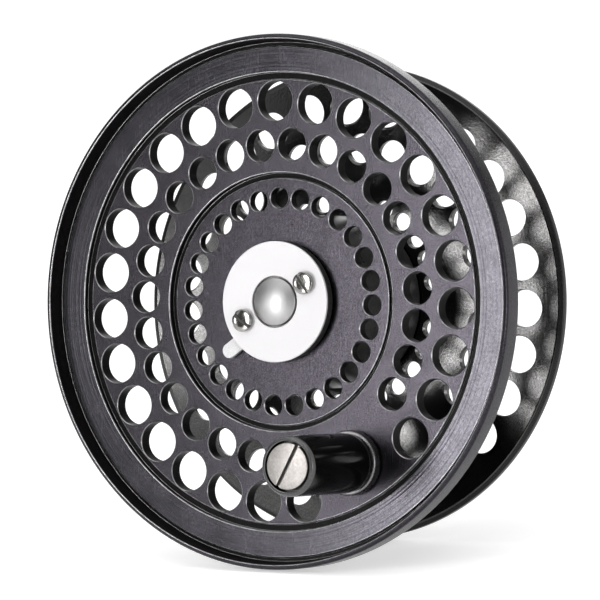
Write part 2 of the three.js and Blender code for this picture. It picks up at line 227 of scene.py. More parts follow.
# %% Cut and join
def gathered(parts):
    """Several bodies in one mesh, without joining their surfaces."""
    whole = bmesh.new()
    for part in parts:
        mesh = bpy.data.meshes.new("part")
        part.to_mesh(mesh)
        part.free()
        whole.from_mesh(mesh)
        bpy.data.meshes.remove(mesh)
    return whole


def repeated(bm, places):
    """Copies of a body in one mesh, one at each place."""
    return gathered([moved(bm.copy(), place) for place in places])


def combined(bm, tool, operation):
    """The result of a Boolean modifier on two bodies."""
    objects = []
    for part in (bm, tool):
        mesh = bpy.data.meshes.new("part")
        part.to_mesh(mesh)
        part.free()
        objects.append(bpy.data.objects.new("part", mesh))
        scene.collection.objects.link(objects[-1])
    modifier = objects[0].modifiers.new("cut", "BOOLEAN")
    modifier.operation = operation
    modifier.solver = "MANIFOLD"
    modifier.object = objects[1]
    depsgraph = bpy.context.evaluated_depsgraph_get()
    result = bmesh.new()
    result.from_mesh(objects[0].evaluated_get(depsgraph).to_mesh())
    for thing in objects:
        mesh = thing.data
        bpy.data.objects.remove(thing)
        bpy.data.meshes.remove(mesh)
    bmesh.ops.remove_doubles(result, verts=result.verts, dist=MERGE)
    return result


def cut(bm, tools):
    """A body with tools cut out of it."""
    return combined(bm, gathered(tools), "DIFFERENCE")


def joined(first, *others):
    """Bodies welded into one."""
    for other in others:
        first = combined(first, other, "UNION")
    return first


def softened(bm, width, angle=40, segments=2):
    """A body with its sharp edges rounded over."""
    limit = math.radians(angle)
    sharp = [edge for edge in bm.edges if edge.is_manifold and edge.calc_face_angle(0) > limit]
    bmesh.ops.bevel(bm, geom=sharp, affect="EDGES", offset=width, offset_type="OFFSET",
                    segments=segments, profile=0.5, material=-1, clamp_overlap=True)
    return bm


print("cutting tools are ready")

# %% [markdown]
# ## Placing a finished piece
#
# A finished piece is an object at the origin with its place in its mesh. Smooth shading stops at
# real edges, and a Weighted Normal modifier keeps the wide flats flat next to their roundings.
# The piece is then tied to its body, and the CAD nodes that it stands for are hidden.

# %% Finish a piece
SHARP = math.radians(35)


def piece(name, bm, node_names, body="spool"):
    """A new object from a body in spool millimetres, which stands for CAD nodes.
    """
    bm.transform(SPOOL)
    mesh = bpy.data.meshes.new(name)
    bm.to_mesh(mesh)
    bm.free()
    mesh.shade_smooth()
    mesh.set_sharp_from_angle(angle=SHARP)
    thing = bpy.data.objects.new(name, mesh)
    scene.collection.objects.link(thing)
    shading = thing.modifiers.new("even shading", "WEIGHTED_NORMAL")
    shading.keep_sharp = True
    if body:
        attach(thing, body)
    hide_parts(*node_names)
    print(name, "has", len(mesh.polygons), "faces")
    return thing


# %% [markdown]
# ## The hole pattern
#
# Three rings of holes share one pitch of 27 to the turn, with some places left out round the
# handle. Both flanges are drilled on the same circles, the front one a little wider. Every hole
# is then touched with a countersink, which leaves the thin bright ring round it.

# %% Hole pattern and drills
HOLE_COUNT = 27
PITCH = 2 * math.pi / HOLE_COUNT
HANDLE_ANGLE = math.radians(-61.4)
HOLE_ROWS = (  # circle radius, front and back bore radius, offset in pitches, places left out
    (28.6, (2.86, 2.66), 0.5, (0, 26)),
    (22.45, (2.3, 2.14), 0, (26, 0, 1)),
    (14.8, (1.47, 1.27), 0.5, ()),
)
HOLE_SIDES = 64
SINK = 0.11
FLARE = 1.0


def drill(bore, front, rear):
    """A drill with a countersink at the front face and another at the rear face."""
    return turned([
        (0, rear + SINK - FLARE, 0),
        (bore + FLARE, rear + SINK - FLARE, 0),
        (bore, rear + SINK, 0),
        (bore, front - SINK, 0),
        (bore + FLARE, front - SINK + FLARE, 0),
        (0, front - SINK + FLARE, 0),
    ], HOLE_SIDES)


def row_places(circle, offset, gap):
    """Where the holes of one row lie."""
    return [at(circle, HANDLE_ANGLE + (i + offset) * PITCH)
            for i in range(HOLE_COUNT) if i not in gap]


def pattern(faces, flange):
    """Drills for all rows, from a (front, rear) pair of heights for each; flange 0 is the front."""
    drills = []
    for (circle, bores, offset, gap), (front, rear) in zip(HOLE_ROWS, faces):
        drills.append(repeated(drill(bores[flange], front, rear), row_places(circle, offset, gap)))
    return drills


holes = sum(HOLE_COUNT - len(row[3]) for row in HOLE_ROWS)
print("each flange has", holes, "holes")

# %% [markdown]
# ## The front flange
#
# One section gives the web, its recessed middle, two narrow grooves, the raised band and the
# palming rim with its lip. The grooves are only a few tenths wide, yet they draw the dark rings
# that divide the face, so they are cut in the section. Their walls and floors are also painted
# near black, as are the bores and the lip's inner wall: painted shade.

# %% Front flange
WEB = 2.2
DISC = -0.6
BUSH_HOLE = 4.3
RIM = 38.0
RIM_BACK = -0.9
RIM_STEP = 34.3
LIP_INNER = 37.28
LIP_ROUNDING = 0.12
LIP_FOOT = 36.9
BAND_INNER, BAND_OUTER = 32.6, 36.4
BAND_HEIGHT = 0.5
GROOVE_INNER = 31.7
GROOVE_FLOOR = -0.4
DISC_RADIUS, DISC_GROOVE = 17.65, 18.36
DISC_GROOVE_FLOOR = -1.1
POST_HOLE = 2.3
PIN_HOLE = 0.8
HANDLE_CIRCLE = 25.7
SCREW_HOLE = 1.15
COVER_SCREW_CIRCLE = 5.65
COVER_SCREW_ANGLE = math.radians(28.4)
SPRING_CIRCLE = 6.3
SPRING_PIN_ANGLE = math.radians(300)

flange = turned([
    (BUSH_HOLE, -WEB, 0),
    (RIM_STEP, -WEB, 0.1),
    (RIM_STEP, RIM_BACK, 0),
    (RIM, RIM_BACK, 0.3),
    (RIM, LIP_HEIGHT, 0.56),
    (LIP_INNER, LIP_HEIGHT, LIP_ROUNDING),
    (LIP_FOOT, 0, 0.05),
    (BAND_OUTER, 0, 0.05),
    (BAND_OUTER, BAND_HEIGHT, 0.22),
    (BAND_INNER, BAND_HEIGHT, 0.16),
    (BAND_INNER, GROOVE_FLOOR, 0.05),
    (GROOVE_INNER, GROOVE_FLOOR, 0.05),
    (GROOVE_INNER, 0, 0.18),
    (DISC_GROOVE, 0, 0.16),
    (DISC_GROOVE, DISC_GROOVE_FLOOR, 0.05),
    (DISC_RADIUS, DISC_GROOVE_FLOOR, 0.05),
    (DISC_RADIUS, DISC, 0.16),
    (BUSH_HOLE, DISC, 0),
], FINE)
cover_screws = [at(COVER_SCREW_CIRCLE, COVER_SCREW_ANGLE + i * math.pi) for i in range(2)]
flange = cut(flange, pattern([(0, -WEB), (0, -WEB), (DISC, -WEB)], 0) + [
    repeated(bar(SCREW_HOLE, -WEB - 1, 1), cover_screws),
    moved(bar(POST_HOLE, -WEB - 1, 1), at(HANDLE_CIRCLE, HANDLE_ANGLE)),
    moved(bar(PIN_HOLE, -WEB - 1, 1), at(SPRING_CIRCLE, SPRING_PIN_ANGLE)),
])
front_flange = piece("perforated_face", flange, ["front_flange"])

# %% [markdown]
# ## The drum and the back flange
#
# The drum is a hollow turning between the flanges. The back flange is dished to the rear and
# ends in a bevelled, slightly thicker edge. Both are seen through the holes of the face.

# %% Arbor and back flange
LINE_WIDTH = 16.8
BACK = -WEB - LINE_WIDTH
ARBOR_RADIUS = 12.5
ARBOR_WALL = 1.3
ARBOR_END = 2.6
SEAT = 0.3
BACK_RADIUS = 34.5
BACK_THICKNESS = 0.9
BACK_ROOT = 1.7
BACK_DISH = 1.95
DISH_START = 13.1
DISH_END = 33.8
EDGE_THICKNESS = 1.25
EDGE_BEVEL = 0.35
EDGE_FOOT = 33.1
GEAR_SCREW_CIRCLE = 7.2
FLANGE_SCREW_CIRCLE = 8.2

front_wall = -WEB - SEAT
rear_wall = BACK + SEAT
gear_screws = [at(GEAR_SCREW_CIRCLE, i * 2 * math.pi / 3) for i in range(3)]
flange_screws = [at(FLANGE_SCREW_CIRCLE, (2 * i + 1) * math.pi / 3) for i in range(3)]

drum = turned([
    (BUSH_HOLE, rear_wall, 0),
    (ARBOR_RADIUS, rear_wall, 0.15),
    (ARBOR_RADIUS, front_wall, 0.15),
    (BUSH_HOLE, front_wall, 0),
    (BUSH_HOLE, front_wall - ARBOR_END, 0),
    (ARBOR_RADIUS - ARBOR_WALL, front_wall - ARBOR_END, 0),
    (ARBOR_RADIUS - ARBOR_WALL, rear_wall + ARBOR_END, 0),
    (BUSH_HOLE, rear_wall + ARBOR_END, 0),
])
drum = cut(drum, [
    repeated(bar(SCREW_HOLE, rear_wall - 1, rear_wall + ARBOR_END + 1),
             gear_screws + flange_screws),
    repeated(bar(SCREW_HOLE, front_wall - ARBOR_END - 1, front_wall + 1), cover_screws),
])
arbor = piece("line_drum", drum, ["arbor"])


def dish(radius):
    """Height of the back flange's front face at a radius."""
    return BACK - BACK_DISH * (radius - DISH_START) / (DISH_END - DISH_START)


root = BACK - BACK_ROOT
edge_front = BACK - BACK_DISH
edge_rear = edge_front - EDGE_THICKNESS
plate = turned([
    (BUSH_HOLE, root, 0),
    (ARBOR_RADIUS, root, 0.25),
    (DISH_START, BACK - BACK_THICKNESS, 0.2),
    (EDGE_FOOT, edge_rear + EDGE_BEVEL, 0.1),
    (BACK_RADIUS, edge_rear, 0.12),
    (BACK_RADIUS, edge_front - EDGE_BEVEL, 0.15),
    (DISH_END, edge_front, 0.15),
    (DISH_START, BACK, 0.2),
    (BUSH_HOLE, BACK, 0),
], FINE)
heights = [(dish(row[0]), dish(row[0]) - BACK_THICKNESS) for row in HOLE_ROWS]
plate = cut(plate, pattern(heights, 1) + [
    repeated(bar(SCREW_HOLE, edge_rear - 1, BACK + 1), gear_screws + flange_screws),
    repeated(bar(1.9, root - 1, root + 1.1), flange_screws),
])
back_flange = piece("back_flange_plate", plate, ["back_flange"])

# %% [markdown]
# ## The bush and the ratchet wheel
#
# A bronze bush runs through the spool and turns on the reel's spindle. Its rear collar holds a
# thirty-tooth ratchet wheel. The wheel starts as a circle whose corners are pulled in by pairs,
# which leaves a trapezoid tooth between each two gaps, and is then extruded.

# %% Bush and ratchet wheel
BORE = 2.5
BUSH_RADIUS = 4.0
BUSH_COLLAR = 5.2
COLLAR_LENGTH = 1.4
GEAR_TEETH = 30
GEAR_RADIUS = 10.5
TOOTH_DEPTH = 1.1
GEAR_THICKNESS = 1.6

gear_front = root - SEAT
gear_rear = gear_front - GEAR_THICKNESS
bush_rear = gear_rear - COLLAR_LENGTH
collar_front = gear_rear - SEAT
bush = turned([
    (BORE, bush_rear, 0.25),
    (BUSH_COLLAR, bush_rear, 0.25),
    (BUSH_COLLAR, collar_front, 0.1),
    (BUSH_RADIUS, collar_front, 0.05),
    (BUSH_RADIUS, DISC, 0.15),
    (BORE, DISC, 0.2),
])
spindle_bush = piece("bronze_bush", bush, ["spindle_bush"])

wheel = bmesh.new()
rim = bmesh.ops.create_circle(wheel, cap_ends=True, segments=4 * GEAR_TEETH, radius=GEAR_RADIUS)
start = math.pi / (4 * GEAR_TEETH)
bmesh.ops.rotate(wheel, verts=wheel.verts, cent=(0, 0, 0), matrix=Matrix.Rotation(start, 3, "Z"))
for vertex in rim["verts"]:
    step = math.atan2(vertex.co.y, vertex.co.x) / (2 * math.pi / (4 * GEAR_TEETH)) - 0.5
    if round(step) % 4 in (0, 1):
        vertex.co *= (GEAR_RADIUS - TOOTH_DEPTH) / GEAR_RADIUS
bmesh.ops.translate(wheel, verts=wheel.verts, vec=(0, 0, gear_rear))
grown = bmesh.ops.extrude_face_region(wheel, geom=wheel.faces[:], use_keep_orig=True)["geom"]
tops = [part for part in grown if isinstance(part, bmesh.types.BMVert)]
bmesh.ops.translate(wheel, verts=tops, vec=(0, 0, GEAR_THICKNESS))
bmesh.ops.recalc_face_normals(wheel, faces=wheel.faces)
wheel = cut(softened(wheel, 0.08, segments=1), [
    bar(BUSH_HOLE, gear_rear - 1, gear_front + 1, ROUND),
    repeated(bar(SCREW_HOLE, gear_rear - 1, gear_front + 1), gear_screws),
])
ratchet = piece("toothed_wheel", wheel, ["ratchet_wheel"])

# %% [markdown]
# ## Slotted screws
#
# All small screws are cheese heads: a low drum with a rounded top edge and a milled slot. One
# function makes them, towards the front or the rear, and each keeps its own slot angle, since
# no fitter leaves them all in line.

# %% Slotted screws
SCREW_RADIUS = 0.85
HEAD_RADIUS = 1.6
SLOT_WIDTH = 0.55
SLOT_DEPTH = 0.4
SCREW_GRIP = 1.9
CROWN = 0.12
REAR_HEAD = 0.8
FLANGE_SCREW_SINK = 1.1


def slotted_screw(height, tip, slot_turn):
    """A screw with its seat at z = 0, its head upwards and its tip at a height below."""
    body = turned([
        (0, tip, 0),
        (SCREW_RADIUS, tip, 0.2),
        (SCREW_RADIUS, 0, 0),
        (HEAD_RADIUS, 0, 0.06),
        (HEAD_RADIUS, height - CROWN, 0.12),
        (HEAD_RADIUS * 0.62, height, 0.3),
        (0, height, 0),
    ], SMALL)
    slot = block(4 * HEAD_RADIUS, SLOT_WIDTH, height - SLOT_DEPTH, height + 1)
    return cut(body, [moved(slot, Matrix.Rotation(slot_turn, 4, "Z"))])


flip = Matrix.Rotation(math.pi, 4, "X")
rear_seats = ((gear_screws, gear_rear - SEAT, "ratchet"),
              (flange_screws, root + FLANGE_SCREW_SINK - SEAT, "flange"))
for places, seat, use in rear_seats:
    for i, place in enumerate(places):
        screw = slotted_screw(REAR_HEAD, seat - rear_wall - SCREW_GRIP, 1.3 * i + 0.4)
        moved(screw, place @ Matrix.Translation((0, 0, seat)) @ flip)
        piece(f"{use}_screw_{i + 1}_slotted", screw, [f"{use}_screw_{i + 1}"])

# %% [markdown]
# ## The latch
#
# A lever with an eye, a yoke round the spindle and a tongue lies in a low ring. Pressing the
# tongue swings it eight degrees about the upper right screw and frees the spindle, and a bent
# wire pushes it back. The ring's slot is the tongue's own shape, grown a little and swung.

# %% Latch ring and lever
LATCH_FOOT = DISC + SEAT
RING_HEIGHT = 1.0
COVER_RADIUS = 8.6
RING_WALL = 0.9
LEVER_THICKNESS = 0.6
LEVER_WIDTH = 2.1
LEVER_TIP_CIRCLE = 10.75
LEVER_TIP_ANGLE = math.radians(221)
LEVER_AIM = math.radians(215)
LEVER_TONGUE = 7.5
LEVER_SWING = math.radians(8)
YOKE_INNER = 3.3
YOKE_OUTER = 4.9
EYE_RADIUS = 1.75
lever_front = LATCH_FOOT + LEVER_THICKNESS
ring_top = LATCH_FOOT + RING_HEIGHT
pivot = Matrix.Translation(cover_screws[0].translation)


def swung(bm, angle):
    """A body turned about the lever's pivot screw."""
    return moved(bm, pivot @ Matrix.Rotation(angle, 4, "Z") @ pivot.inverted())


def tongue(grow, extra):
    """The tongue with its round tip, grown in its plane and in height."""
    half = LEVER_WIDTH / 2 + grow
    low, high = LATCH_FOOT - extra, lever_front + extra
    strip = block(LEVER_TONGUE, 2 * half, low, high)
    moved(strip, Matrix.Translation((-LEVER_TONGUE / 2, 0, 0)))
    whole = joined(bar(half, low, high), strip)
    return moved(whole, at(LEVER_TIP_CIRCLE, LEVER_TIP_ANGLE, LEVER_AIM))


ring = turned([
    (COVER_RADIUS - RING_WALL, LATCH_FOOT, 0),
    (COVER_RADIUS, LATCH_FOOT, 0.08),
    (COVER_RADIUS, ring_top, 0.08),
    (COVER_RADIUS - RING_WALL, ring_top, 0),
])
for share in (0, 0.5, 1):
    ring = cut(ring, [swung(tongue(SEAT, 1), share * LEVER_SWING)])
latch_ring = piece("latch_ring", ring, ["latch_housing"])

neck = block(COVER_SCREW_CIRCLE - YOKE_INNER, 2 * EYE_RADIUS, LATCH_FOOT, lever_front)
moved(neck, at((COVER_SCREW_CIRCLE + YOKE_INNER) / 2, COVER_SCREW_ANGLE, COVER_SCREW_ANGLE))
eye = moved(bar(EYE_RADIUS, LATCH_FOOT, lever_front), cover_screws[0])
arm = joined(bar(YOKE_OUTER, LATCH_FOOT, lever_front, ROUND), eye, neck, tongue(0, 0))
low, high = LATCH_FOOT - 1, lever_front + 1
arm = cut(arm, [bar(YOKE_INNER, low, high, ROUND)])
arm = cut(arm, [moved(bar(SCREW_HOLE, low, high), cover_screws[0])])
for share in (0, -0.5, -1):
    clear = moved(bar(SCREW_HOLE, low, high), cover_screws[1])
    arm = cut(arm, [swung(clear, share * LEVER_SWING)])
lever = piece("release_lever", softened(arm, 0.09, angle=60), ["latch_lever"], "lever")

# %% [markdown]
# ## Spring, pin, plate and cap
#
# The spring is a wire bent round the spindle: a small circle spun part of a turn. On the reel its
# foot stays with the spool and its free end follows the lever; here it is tied to no body and
# keeps its shape. The plate closes the latch, and a domed plug covers the spindle's end. The
# plug's dome is one arc.

# %% Spring and its pin
SPRING_WIRE = 0.4
PIN_RADIUS = 0.5
spring_start = SPRING_PIN_ANGLE - (PIN_RADIUS + SEAT + SPRING_WIRE / 2) / SPRING_CIRCLE
side_step = LEVER_TIP_CIRCLE * math.sin(LEVER_TIP_ANGLE - LEVER_AIM) + LEVER_WIDTH / 2
spring_end = LEVER_AIM + math.asin(side_step / SPRING_CIRCLE)
spring_end += (SEAT + SPRING_WIRE / 2) / SPRING_CIRCLE
spring_height = (LATCH_FOOT + lever_front) / 2

wire = bmesh.new()
bmesh.ops.create_circle(wire, cap_ends=True, segments=16, radius=SPRING_WIRE / 2,
                        matrix=Matrix.Translation((SPRING_CIRCLE, 0, spring_height))
                        @ Matrix.Rotation(math.pi / 2, 4, "X"))
bmesh.ops.spin(wire, geom=wire.faces[:], cent=(0, 0, 0), axis=(0, 0, 1),
               angle=spring_end - spring_start, steps=32)
bmesh.ops.recalc_face_normals(wire, faces=wire.faces)
moved(wire, Matrix.Rotation(spring_start, 4, "Z"))
spring = piece("latch_wire", wire, ["latch_spring"], body=None)


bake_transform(spring)

pin = turned([
    (0, -WEB, 0), (PIN_RADIUS, -WEB, 0.1), (PIN_RADIUS, lever_front, 0.15), (0, lever_front, 0),
], SMALL)
spring_pin = piece("spring_post", moved(pin, at(SPRING_CIRCLE, SPRING_PIN_ANGLE)),
                   ["latch_spring_pin"])

# %% Plate and cap
COVER_THICKNESS = 0.35
CAP_RADIUS = 3.4
CAP_PLUG = 0.3
CAP_DOME = 0.9
cover_rear = ring_top + SEAT
cover_front = cover_rear + COVER_THICKNESS
disc = turned([
    (CAP_RADIUS + SEAT, cover_rear, 0),
    (COVER_RADIUS, cover_rear, 0.05),
    (COVER_RADIUS, cover_front, 0.1),
    (CAP_RADIUS + SEAT, cover_front, 0.06),
])
disc = cut(disc, [repeated(bar(SCREW_HOLE, cover_rear - 1, cover_front + 1), cover_screws)])
latch_plate = piece("latch_plate_disc", disc, ["latch_cover"])

bulge = (CAP_RADIUS ** 2 + CAP_DOME ** 2) / (2 * CAP_DOME)
spread = math.asin(CAP_RADIUS / bulge)
section = [(0, cover_rear - CAP_PLUG, 0), (CAP_RADIUS, cover_rear - CAP_PLUG, 0.1)]
for i in range(16, 0, -1):
    angle = spread * i / 16
    height = cover_front + CAP_DOME - bulge * (1 - math.cos(angle))
    section.append((bulge * math.sin(angle), height, 0.1 if i == 16 else 0))
section.append((0, cover_front + CAP_DOME, 0))
cap = piece("domed_cap", turned(section), ["spindle_cap"])

for i, place in enumerate(cover_screws):
    seat = cover_front + SEAT
    screw = slotted_screw(0.6, front_wall - SCREW_GRIP - seat, (-0.95, -0.62)[i])
    moved(screw, place @ Matrix.Translation((0, 0, seat)))
    piece(f"plate_screw_{i + 1}", screw, [f"cover_screw_{i + 1}"])

# %% [markdown]
# ## The handle
#
# A post with a collar is riveted through the web. The knob turns on it and is held by one wide
# slotted screw, whose head lies flush in the knob's end. The knob's end is rounded twice with a
# narrow land between, which catches the light as two thin rings. The roundings also carry a
# lighter finish, which is a painted highlight.

# %% Handle pieces
HANDLE_LENGTH = 18.3
KNOB_RADIUS = 4.25
POST_RADIUS = 1.75
SPIGOT_RADIUS = 2.0
COLLAR_RADIUS = 4.6
HANDLE_SCREW_RADIUS = 3.25
HANDLE_SCREW_HEIGHT = 1.3
COLLAR_HEIGHT = 1.6
POST_BORE = 1.2
RIVET_HEIGHT = 0.3
WASHER_RADIUS = 3
WASHER_THICKNESS = 0.9
SHANK_RADIUS = 0.9
SHANK_LENGTH = 6
BLADE_WIDTH = 0.6
BLADE_DEPTH = 0.6
BLADE_ANGLE = math.radians(62)
RING_OUTER, RING_INNER = 3.92, 3.78
handle = at(HANDLE_CIRCLE, HANDLE_ANGLE)
collar_low, collar_high = SEAT, SEAT + COLLAR_HEIGHT
washer_front = -WEB - SEAT
washer_rear = washer_front - WASHER_THICKNESS
head_rear = HANDLE_LENGTH - HANDLE_SCREW_HEIGHT
post_front = head_rear - SEAT
knob_rear = collar_high + SEAT
shank_tip = post_front - SHANK_LENGTH

body = turned([
    (0, washer_rear - RIVET_HEIGHT, 0),
    (SPIGOT_RADIUS, washer_rear - RIVET_HEIGHT, 0.2),
    (SPIGOT_RADIUS, collar_low, 0),
    (COLLAR_RADIUS, collar_low, 0.1),
    (COLLAR_RADIUS, collar_high, 0.35),
    (POST_RADIUS, collar_high, 0.1),
    (POST_RADIUS, post_front, 0.15),
    (0, post_front, 0),
])
body = cut(body, [bar(POST_BORE, shank_tip - SEAT, post_front + 1)])
post = piece("handle_post_turned", moved(body, handle), ["handle_post"])

washer = turned([
    (SPIGOT_RADIUS + SEAT, washer_rear, 0),
    (WASHER_RADIUS, washer_rear, 0.15),
    (WASHER_RADIUS, washer_front, 0.1),
    (SPIGOT_RADIUS + SEAT, washer_front, 0),
], SMALL)
rear_washer = piece("rivet_washer", moved(washer, handle), ["handle_washer"])

grip = turned([
    (POST_RADIUS + SEAT, knob_rear, 0.1),
    (KNOB_RADIUS - 0.12, knob_rear, 0.1),
    (KNOB_RADIUS, knob_rear + 0.5, 0.4),
    (KNOB_RADIUS, HANDLE_LENGTH - 0.42, 0.3),
    (RING_OUTER, HANDLE_LENGTH - 0.05, 0.08),
    (RING_INNER, HANDLE_LENGTH, 0.04),
    (HANDLE_SCREW_RADIUS + SEAT, HANDLE_LENGTH, 0.1),
    (HANDLE_SCREW_RADIUS + SEAT, post_front, 0),
    (POST_RADIUS + SEAT, post_front, 0.1),
])
knob = piece("handle_grip", moved(grip, handle), ["handle_knob"], "knob")

bolt = turned([
    (0, shank_tip, 0),
    (SHANK_RADIUS, shank_tip, 0.2),
    (SHANK_RADIUS, head_rear, 0),
    (HANDLE_SCREW_RADIUS, head_rear, 0.05),
    (HANDLE_SCREW_RADIUS, HANDLE_LENGTH, 0.08),
    (0, HANDLE_LENGTH, 0),
])
blade = moved(block(4 * HANDLE_SCREW_RADIUS, BLADE_WIDTH, HANDLE_LENGTH - BLADE_DEPTH,
                    HANDLE_LENGTH + 1), Matrix.Rotation(BLADE_ANGLE, 4, "Z"))
handle_screw = piece("grip_screw", moved(cut(bolt, [blade]), handle), ["handle_screw"])

# %% [markdown]
# ## Patterns that several finishes share
#
# Anodised and machined metal looks alive through small things: a fine speckle left by blasting,
# rings left by the lathe, scratches from use, and edges rubbed bright. Each of these is a node
# group with its own inputs, placed in the materials with different values.

# %% Node helpers
def new_group(name, inputs, outputs):
    """An empty shader node group with named sockets, and its input and output nodes."""
    group = bpy.data.node_groups.new(name, "ShaderNodeTree")
    for direction_name, sockets in (("INPUT", inputs), ("OUTPUT", outputs)):
        for socket_name, kind, value in sockets:
            socket = group.interface.new_socket(socket_name, in_out=direction_name,
                                                socket_type=f"NodeSocket{kind}")
            if value is not None:
                socket.default_value = value
    return group, group.nodes.new("NodeGroupInput"), group.nodes.new("NodeGroupOutput")


def add(tree, kind, inputs=None, **settings):
    """A node with its settings made and its inputs linked or set."""
    node = tree.nodes.new(f"ShaderNode{kind}")
    for key, value in settings.items():
        setattr(node, key, value)
    for key, value in (inputs or {}).items():
        if isinstance(value, bpy.types.NodeSocket):
            tree.links.new(value, node.inputs[key])
        else:
            node.inputs[key].default_value = value
    return node


def ramp(tree, factor, stops):
    """A colour ramp from a factor through (place, grey) stops."""
    node = add(tree, "ValToRGB", {"Fac": factor})
    elements = node.color_ramp.elements
    while len(elements) < len(stops):
        elements.new(0.5)
    for element, (place, grey) in zip(elements, stops):
        element.position = place
        element.color = (grey, grey, grey, 1)
    return node.outputs["Color"]


# %% Speckle left by blasting
speckle, put_in, put_out = new_group(
    "Blasted speckle",
    [("Vector", "Vector", None), ("Grain", "Float", 0.2), ("Dark", "Color", (0, 0, 0, 1)),
     ("Light", "Color", (1, 1, 1, 1))],
    [("Color", "Color", None), ("Height", "Float", None)])
per_grain = add(speckle, "Math", {0: 1.0, 1: put_in.outputs["Grain"]}, operation="DIVIDE")
fine = add(speckle, "TexNoise", {"Vector": put_in.outputs["Vector"], "Scale": per_grain.outputs[0],
                                 "Detail": 3.0, "Roughness": 0.7})
broad = add(speckle, "TexNoise", {"Vector": put_in.outputs["Vector"], "Scale": 0.35,
                                  "Detail": 4.0, "Roughness": 0.6})
grit = ramp(speckle, fine.outputs["Fac"], [(0.3, 0.0), (0.7, 1.0)])
cloud = ramp(speckle, broad.outputs["Fac"], [(0.35, 0.35), (0.65, 0.65)])
both = add(speckle, "Mix", {"Factor": 0.35, "A": grit, "B": cloud}, data_type="RGBA",
           blend_type="MIX")
tint = add(speckle, "Mix", {"Factor": both.outputs[2], "A": put_in.outputs["Dark"],
                            "B": put_in.outputs["Light"]}, data_type="RGBA", blend_type="MIX")
speckle.links.new(tint.outputs[2], put_out.inputs["Color"])
speckle.links.new(grit, put_out.inputs["Height"])
print("group:", speckle.name)

# %% [markdown]
# A lathe tool leaves rings of uneven depth. Distance from the axis drives a one-dimensional
# noise, so every ring is unbroken all the way round.

# %% Rings left by the lathe
rings, put_in, put_out = new_group(
    "Lathe rings",
    [("Vector", "Vector", None), ("Pitch", "Float", 0.1)],
    [("Height", "Float", None)])
flat = add(rings, "VectorMath", {0: put_in.outputs["Vector"], 1: (1, 1, 0)}, operation="MULTIPLY")
length = add(rings, "VectorMath", {0: flat.outputs[0]}, operation="LENGTH")
count = add(rings, "Math", {0: length.outputs["Value"], 1: put_in.outputs["Pitch"]},
            operation="DIVIDE")
lines = add(rings, "TexNoise", {"W": count.outputs[0], "Scale": 1.0, "Detail": 2.0},
            noise_dimensions="1D")
rings.links.new(lines.outputs["Fac"], put_out.inputs["Height"])
print("group:", rings.name)

# %% [markdown]
# Edges of anodised aluminium wear bright first. A Bevel node sees a rounded normal near an edge,
# and where that differs from the true normal there is an edge. A noise breaks the line up.

# %% Rubbed edges
wear, put_in, put_out = new_group(
    "Rubbed edges",
    [("Vector", "Vector", None), ("Width", "Float", 0.1), ("Amount", "Float", 0.5)],
    [("Mask", "Float", None)])
metres = add(wear, "Math", {0: put_in.outputs["Width"], 1: MM}, operation="MULTIPLY")
soft = add(wear, "Bevel", {"Radius": metres.outputs[0]}, samples=6)
true = add(wear, "NewGeometry")
match = add(wear, "VectorMath", {0: soft.outputs["Normal"], 1: true.outputs["Normal"]},
            operation="DOT_PRODUCT")
edge = add(wear, "MapRange", {"Value": match.outputs["Value"], "From Min": 0.985,
                              "From Max": 0.9, "To Min": 0.0, "To Max": 1.0})
chips = add(wear, "TexNoise", {"Vector": put_in.outputs["Vector"], "Scale": 1.4, "Detail": 5.0,
                               "Roughness": 0.7})
broken = ramp(wear, chips.outputs["Fac"], [(0.42, 0.15), (0.62, 1.0)])
partly = add(wear, "Math", {0: edge.outputs[0], 1: broken}, operation="MULTIPLY")
mask = add(wear, "Math", {0: partly.outputs[0], 1: put_in.outputs["Amount"]},
           operation="MULTIPLY")
wear.links.new(mask.outputs[0], put_out.inputs["Mask"])
print("group:", wear.name)

# %% [markdown]
# Handling leaves faint cloudy patches and hairline scratches. They hardly show in the colour,
# but they change how sharply a surface shines, so this group puts out a roughness.

# %% Marks of handling
handling, put_in, put_out = new_group(
    "Handling marks",
    [("Vector", "Vector", None), ("Low", "Float", 0.3), ("High", "Float", 0.5)],
    [("Roughness", "Float", None)])
patches = add(handling, "TexNoise", {"Vector": put_in.outputs["Vector"], "Scale": 0.25,
                                     "Detail": 5.0, "Roughness": 0.65})
long = add(handling, "VectorMath", {0: put_in.outputs["Vector"], 1: (6.0, 0.25, 3.0)},
           operation="MULTIPLY")
hairs = add(handling, "TexNoise", {"Vector": long.outputs[0], "Scale": 1.0, "Detail": 3.0,
                                   "Distortion": 0.8})
scratch = ramp(handling, hairs.outputs["Fac"], [(0.6, 0.0), (0.72, 1.0)])
blend = add(handling, "Math", {0: scratch, 1: 0.3, 2: patches.outputs["Fac"]},
            operation="MULTIPLY_ADD")
rough = add(handling, "MapRange", {"Value": blend.outputs[0], "From Min": 0.3, "From Max": 0.8,
                                   "To Min": put_in.outputs["Low"],
                                   "To Max": put_in.outputs["High"]})
handling.links.new(rough.outputs[0], put_out.inputs["Roughness"])
print("group:", handling.name)

# %% [markdown]
# ## Finishes
#
# Every finish starts the same way: Object coordinates, turned by a Mapping node into the spool's
# millimetres and centred on the piece's own axis. One function places the groups and the shader,
# and each finish then differs only in its values, as on a paint card.

